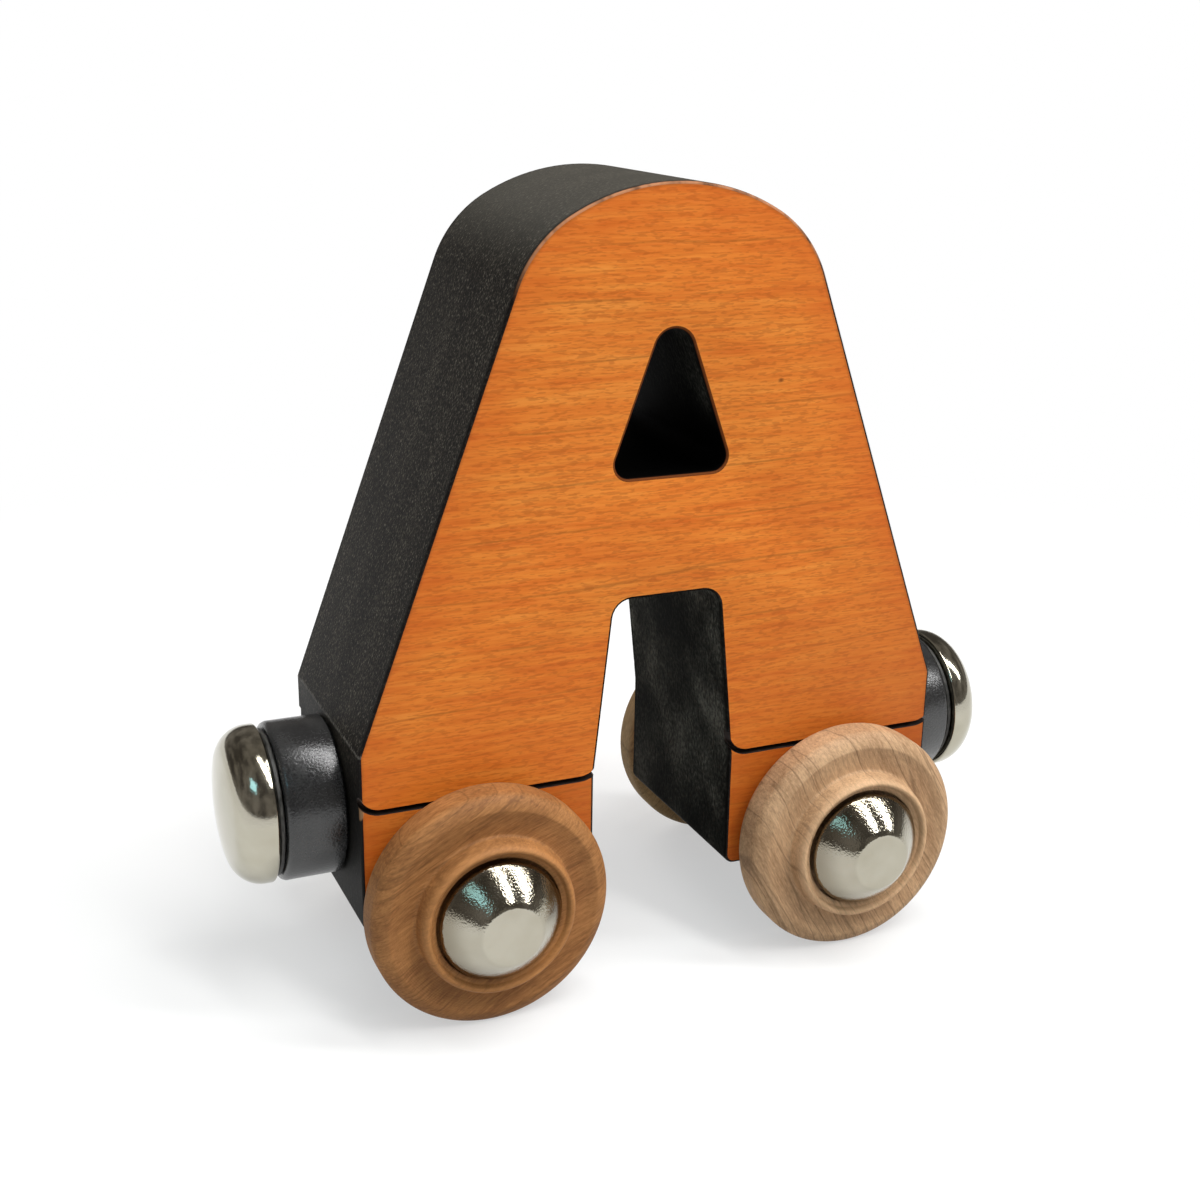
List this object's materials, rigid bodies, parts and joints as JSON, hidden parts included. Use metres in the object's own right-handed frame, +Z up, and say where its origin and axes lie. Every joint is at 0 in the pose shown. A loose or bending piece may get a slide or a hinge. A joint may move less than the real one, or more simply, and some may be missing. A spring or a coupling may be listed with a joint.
{
  "type": "letter train car",
  "caption": "Wooden toy train car cut as a capital letter, rolling on turned wheels with plated hub caps, with a magnetic coupler at each end for joining cars into a name.",
  "frame": {"origin": "on the track surface, under the middle of the car", "axes": "+X along the train towards the right-hand coupler, +Z up, the pictured letter face towards -Y"},
  "size_m": [0.0696, 0.036, 0.0647],
  "materials": {
    "stained_maple": "orange stained and satin lacquered faces, edges charred dark by laser cutting",
    "turned_hardwood": "bare turned hardwood, matt",
    "nickel_plate": "polished nickel plate with slight orange peel",
    "axle_steel": "drawn bright steel rod",
    "spring_steel": "blued spring steel",
    "grey_plastic": "satin charcoal plastic",
    "black_fibre": "matt black fibre",
    "ferrite": "sintered dark grey ferrite"
  },
  "bodies": {
    "car_body": {"letter_body": "stained_maple", "left_coupler_pin": "nickel_plate", "left_coupler_sleeve": "grey_plastic", "left_coupler_spacer": "black_fibre", "left_coupler_magnet": "ferrite", "right_coupler_pin": "nickel_plate", "right_coupler_sleeve": "grey_plastic", "right_coupler_spacer": "black_fibre", "right_coupler_magnet": "ferrite"},
    "left_axle": {"left_axle_rod": "axle_steel", "left_front_hub_cap": "nickel_plate", "left_back_hub_cap": "nickel_plate", "left_front_axle_clip": "spring_steel", "left_back_axle_clip": "spring_steel"},
    "right_axle": {"right_axle_rod": "axle_steel", "right_front_hub_cap": "nickel_plate", "right_back_hub_cap": "nickel_plate", "right_front_axle_clip": "spring_steel", "right_back_axle_clip": "spring_steel"},
    "left_front_wheel": {"left_front_wheel": "turned_hardwood"},
    "left_back_wheel": {"left_back_wheel": "turned_hardwood"},
    "right_front_wheel": {"right_front_wheel": "turned_hardwood"},
    "right_back_wheel": {"right_back_wheel": "turned_hardwood"}
  },
  "joints": [
    {"name": "left_axle_spin", "type": "hinge", "parent": "car_body", "child": "left_axle", "pos_m": [-0.0164, 0, 0.00982], "axis": [0, 1, 0], "continuous": true},
    {"name": "right_axle_spin", "type": "hinge", "parent": "car_body", "child": "right_axle", "pos_m": [0.0164, 0, 0.00982], "axis": [0, 1, 0], "continuous": true},
    {"name": "left_front_wheel_spin", "type": "hinge", "parent": "left_axle", "child": "left_front_wheel", "pos_m": [-0.0164, -0.0125, 0.00982], "axis": [0, 1, 0], "continuous": true},
    {"name": "left_back_wheel_spin", "type": "hinge", "parent": "left_axle", "child": "left_back_wheel", "pos_m": [-0.0164, 0.0125, 0.00982], "axis": [0, 1, 0], "continuous": true},
    {"name": "right_front_wheel_spin", "type": "hinge", "parent": "right_axle", "child": "right_front_wheel", "pos_m": [0.0164, -0.0125, 0.00982], "axis": [0, 1, 0], "continuous": true},
    {"name": "right_back_wheel_spin", "type": "hinge", "parent": "right_axle", "child": "right_back_wheel", "pos_m": [0.0164, 0.0125, 0.00982], "axis": [0, 1, 0], "continuous": true}
  ]
}
